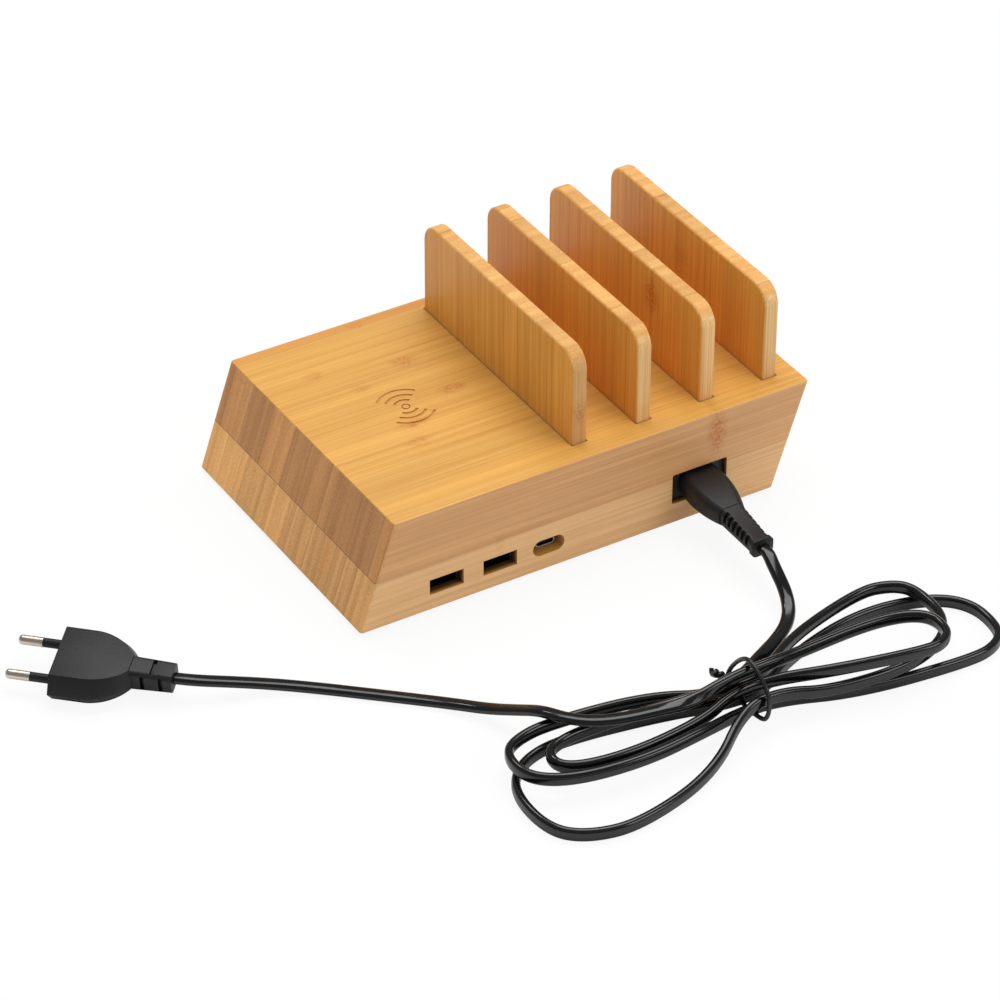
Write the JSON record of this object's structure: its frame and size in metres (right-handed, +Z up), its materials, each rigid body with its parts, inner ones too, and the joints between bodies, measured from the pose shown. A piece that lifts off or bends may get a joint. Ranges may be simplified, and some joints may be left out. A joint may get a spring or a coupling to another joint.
{
  "type": "charging station organizer",
  "caption": "Leaning bamboo charging box with upright dividers for phones and tablets, a wireless charging pad, USB ports in the front face and a mains lead that unplugs.",
  "frame": {"origin": "on the table under the middle of the box, measured without the mains lead", "axes": "+X along the box's length, the way both ends lean; +Z up; the ports and the inlet face -Y"},
  "size_m": [0.3541, 0.2912, 0.0925],
  "materials": {
    "bamboo_box": "clear satin lacquer over laminated bamboo",
    "bamboo_divider": "clear satin lacquer over laminated bamboo, grain upright",
    "cover_plastic": "fine texture",
    "screw_steel": "zinc plated",
    "foot_rubber": "matt",
    "coil_copper": "enamelled copper wire",
    "ferrite": "matt",
    "circuit_board": "green solder mask",
    "shell_steel": "bright tin plate",
    "port_plastic": "moulded",
    "contact_metal": "gold flash",
    "inlet_plastic": "moulded",
    "pin_nickel": "bright nickel plate on brass",
    "transformer_tape": "polyester tape",
    "capacitor_sleeve": "shrink sleeve",
    "wire_insulation": "PVC insulation",
    "plug_plastic": "moulded PVC, fine texture",
    "cord_sheath": "smooth glossy PVC",
    "tie_plastic": "plastic-coated wire"
  },
  "bodies": {
    "station": {"lower_block": "bamboo_box", "upper_block": "bamboo_box", "divider_1": "bamboo_divider", "divider_2": "bamboo_divider", "divider_3": "bamboo_divider", "divider_4": "bamboo_divider", "bottom_cover": "cover_plastic", "cover_screws": "screw_steel", "rubber_feet": "foot_rubber", "charging_coil": "coil_copper", "ferrite_plate": "ferrite", "coil_holder": "cover_plastic", "holder_screws": "screw_steel", "charger_board": "circuit_board", "power_board": "circuit_board", "usb_a_shells": "shell_steel", "usb_a_tongues": "port_plastic", "usb_a_contacts": "contact_metal", "usb_c_riser": "port_plastic", "usb_c_shell": "shell_steel", "usb_c_tongue": "port_plastic", "inlet_housing": "inlet_plastic", "inlet_pins": "pin_nickel", "transformer": "transformer_tape", "smoothing_capacitors": "capacitor_sleeve", "inductors": "ferrite", "mains_wires": "wire_insulation", "coil_leads": "wire_insulation"},
    "mains_lead": {"connector_body": "plug_plastic", "connector_contacts": "contact_metal", "cord_from_connector": "cord_sheath", "cord_hank": "cord_sheath", "cord_to_plug": "cord_sheath", "twist_tie": "tie_plastic", "plug_body": "plug_plastic", "plug_pins": "pin_nickel", "plug_pin_sleeves": "plug_plastic"}
  },
  "joints": [
    {"name": "lead_unplug", "type": "slide", "parent": "station", "child": "mains_lead", "axis": [0, -1, 0], "range_m": [0, 0.025]}
  ]
}
